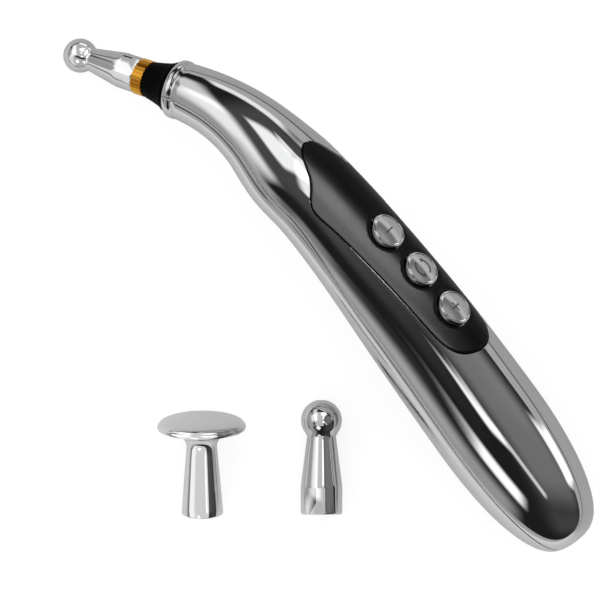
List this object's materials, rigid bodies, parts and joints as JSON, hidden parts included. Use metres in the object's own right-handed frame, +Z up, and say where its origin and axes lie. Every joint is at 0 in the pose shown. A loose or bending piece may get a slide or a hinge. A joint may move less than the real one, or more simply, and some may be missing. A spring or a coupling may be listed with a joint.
{
  "type": "electronic acupuncture pen",
  "caption": "Chromed arched massage pen with a black key panel, a brass-ringed neck and a screw-on ball tip, lying beside a spare ball tip and a disc tip.",
  "frame": {"origin": "on the table under the middle of the set's bounding box", "axes": "+X along the pen towards its tip, +Z up from the table; the pen lies rolled by 45 degrees, so its key panel faces -Y and up, and the spare tips lie on its +Y side"},
  "size_m": [0.2064, 0.1043, 0.0401],
  "materials": {
    "chromed_shell": "polished",
    "black_panel": "gloss",
    "key_metal": "polished",
    "black_neck": "satin",
    "tip_metal": "polished",
    "knurled_brass": "satin",
    "stud_brass": "satin",
    "board_green": "satin",
    "black_plastic": "matte",
    "copper_coil": "satin",
    "capacitor_sleeve": "gloss",
    "steel": "satin",
    "contact_gold": "satin",
    "tray_plastic": "matte",
    "battery_can": "gloss",
    "wire_black": "matte",
    "wire_red": "matte",
    "wire_yellow": "matte",
    "lamp_glass": "gloss"
  },
  "bodies": {
    "pen": {"upper_shell": "chromed_shell", "lower_shell": "chromed_shell", "control_panel": "black_panel", "minus_switch": "steel", "mode_switch": "steel", "plus_switch": "steel", "circuit_board": "board_green", "control_chip": "black_plastic", "boost_coil": "copper_coil", "capacitor": "capacitor_sleeve", "buzzer": "black_plastic", "skin_contact": "contact_gold", "board_screws": "steel", "shell_screws": "steel", "battery_tray": "tray_plastic", "battery": "battery_can", "negative_spring": "steel", "positive_plate": "steel", "negative_lead": "wire_black", "positive_lead": "wire_red", "electrode_lead": "wire_yellow", "lamp_leads": "steel", "neck_cone": "black_neck", "knurled_ring": "knurled_brass", "electrode_stud": "stud_brass", "stud_nut": "steel", "tip_lamp": "lamp_glass", "spare_ball_tip": "tip_metal", "spare_disc_tip": "tip_metal"},
    "minus_key": {"minus_key": "key_metal", "minus_plunger": "black_plastic"},
    "mode_key": {"mode_key": "key_metal", "mode_plunger": "black_plastic"},
    "plus_key": {"plus_key": "key_metal", "plus_plunger": "black_plastic"},
    "battery_cover": {"battery_cover": "chromed_shell"},
    "ball_tip": {"ball_tip": "tip_metal"}
  },
  "joints": [
    {"name": "minus_key_press", "type": "slide", "parent": "pen", "child": "minus_key", "axis": [0.0167, 0.7071, -0.7069], "range_m": [0, 0.0005], "stiffness_N_per_m": 1500},
    {"name": "mode_key_press", "type": "slide", "parent": "pen", "child": "mode_key", "axis": [0.0167, 0.7071, -0.7069], "range_m": [0, 0.0005], "stiffness_N_per_m": 1500},
    {"name": "plus_key_press", "type": "slide", "parent": "pen", "child": "plus_key", "axis": [0.0167, 0.7071, -0.7069], "range_m": [0, 0.0005], "stiffness_N_per_m": 1500},
    {"name": "battery_cover_slide", "type": "slide", "parent": "pen", "child": "battery_cover", "axis": [-0.9997, 0, -0.0237], "range_m": [0, 0.03]},
    {"name": "ball_tip_draw", "type": "slide", "parent": "pen", "child": "ball_tip", "axis": [0.8085, 0.4255, -0.4065], "range_m": [0, 0.009]}
  ]
}
